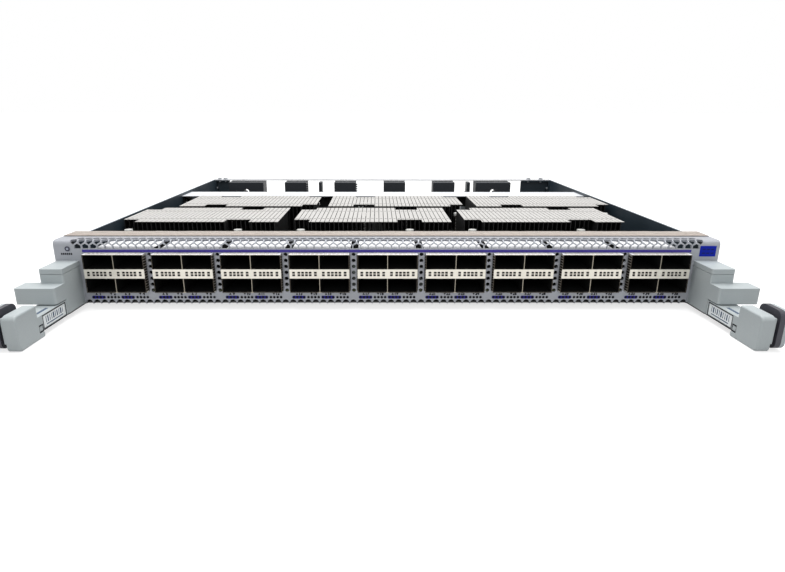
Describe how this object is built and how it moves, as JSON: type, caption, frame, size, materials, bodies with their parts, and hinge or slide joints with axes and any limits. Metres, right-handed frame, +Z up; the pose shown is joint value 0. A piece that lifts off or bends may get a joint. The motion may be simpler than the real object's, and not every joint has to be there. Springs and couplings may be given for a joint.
{
  "type": "switch line card",
  "caption": "Open-topped sheet-metal line card with a perforated port panel in front, finned heatsinks on its board, backplane connectors behind and a swinging ejector lever at each end.",
  "frame": {"origin": "middle of the tray's underside, midway between the panel's front face and the tray's rear edge", "axes": "+X to the right seen from the port panel, +Y from the panel towards the backplane connectors, +Z up"},
  "size_m": [0.4582, 0.4489, 0.0494],
  "materials": {
    "tray_slate": "satin dark slate coating",
    "panel_paint": "fine textured light grey paint",
    "gasket_cloth": "woven conductive cloth over foam",
    "circuit_board": "dark solder mask on glass laminate",
    "zinc_steel": "bright zinc plate",
    "cage_nickel": "satin nickel plate",
    "black_plastic": "moulded black",
    "spring_finger_steel": "tinned spring steel",
    "clear_lens": "clear moulded",
    "label_blue": "plain blue film",
    "fin_aluminium": "mill finish",
    "bright_screw": "nickel plate",
    "chip_resin": "moulded resin",
    "baffle_white": "white coating",
    "power_case": "potted case",
    "capacitor_can": "drawn can",
    "ejector_grey": "fine textured grey paint",
    "pin_steel": "ground",
    "label_white": "plain white film",
    "trigger_dark": "moulded dark grey"
  },
  "bodies": {
    "card": {"air_baffle": "baffle_white", "backplane_connectors": "black_plastic", "board_screws": "zinc_steel", "board_standoffs": "zinc_steel", "bulk_capacitors": "capacitor_can", "cage_collars": "spring_finger_steel", "chassis_screws": "zinc_steel", "control_chips": "chip_resin", "ear_label": "label_blue", "emi_gasket": "gasket_cloth", "faceplate": "panel_paint", "guide_posts": "black_plastic", "heatsink_front_left": "fin_aluminium", "heatsink_front_middle": "fin_aluminium", "heatsink_front_right": "fin_aluminium", "heatsink_rear_left": "fin_aluminium", "heatsink_rear_middle": "fin_aluminium", "heatsink_rear_right": "fin_aluminium", "heatsink_screws": "bright_screw", "heatsink_springs": "spring_finger_steel", "housing_screws": "zinc_steel", "left_ejector_housing": "ejector_grey", "left_housing_cover": "ejector_grey", "left_pivot_pin": "pin_steel", "left_rear_bracket": "tray_slate", "light_pipes": "clear_lens", "main_board": "circuit_board", "port_cage_1": "cage_nickel", "port_cage_2": "cage_nickel", "port_cage_3": "cage_nickel", "port_cage_4": "cage_nickel", "port_cage_5": "cage_nickel", "port_cage_6": "cage_nickel", "port_cage_7": "cage_nickel", "port_cage_8": "cage_nickel", "port_cage_9": "cage_nickel", "port_connectors": "black_plastic", "power_inductors": "chip_resin", "power_modules": "power_case", "rear_rail": "zinc_steel", "right_ejector_housing": "ejector_grey", "right_housing_cover": "ejector_grey", "right_pivot_pin": "pin_steel", "right_rear_bracket": "tray_slate", "status_lens": "clear_lens", "switch_chips": "chip_resin", "tray": "tray_slate"},
    "left_lever": {"left_lever_arm": "ejector_grey", "left_lever_grip": "ejector_grey", "left_arm_label": "label_white"},
    "left_trigger": {"left_trigger": "trigger_dark", "left_trigger_pad": "ejector_grey", "left_trigger_springs": "spring_finger_steel"},
    "right_lever": {"right_lever_arm": "ejector_grey", "right_lever_grip": "ejector_grey", "right_arm_label": "label_white"},
    "right_trigger": {"right_trigger": "trigger_dark", "right_trigger_pad": "ejector_grey", "right_trigger_springs": "spring_finger_steel"}
  },
  "joints": [
    {"name": "left_lever_swing", "type": "hinge", "parent": "card", "child": "left_lever", "pos_m": [-0.2114, -0.197, 0.006], "axis": [0, 0, -1], "range_deg": [0, 60]},
    {"name": "left_trigger_press", "type": "slide", "parent": "left_lever", "child": "left_trigger", "axis": [1, 0, 0], "range_m": [0, 0.0012], "stiffness_N_per_m": 600, "springref_m": -0.002},
    {"name": "right_lever_swing", "type": "hinge", "parent": "card", "child": "right_lever", "pos_m": [0.2114, -0.197, 0.006], "axis": [0, 0, 1], "range_deg": [0, 60]},
    {"name": "right_trigger_press", "type": "slide", "parent": "right_lever", "child": "right_trigger", "axis": [-1, 0, 0], "range_m": [0, 0.0012], "stiffness_N_per_m": 600, "springref_m": -0.002}
  ]
}
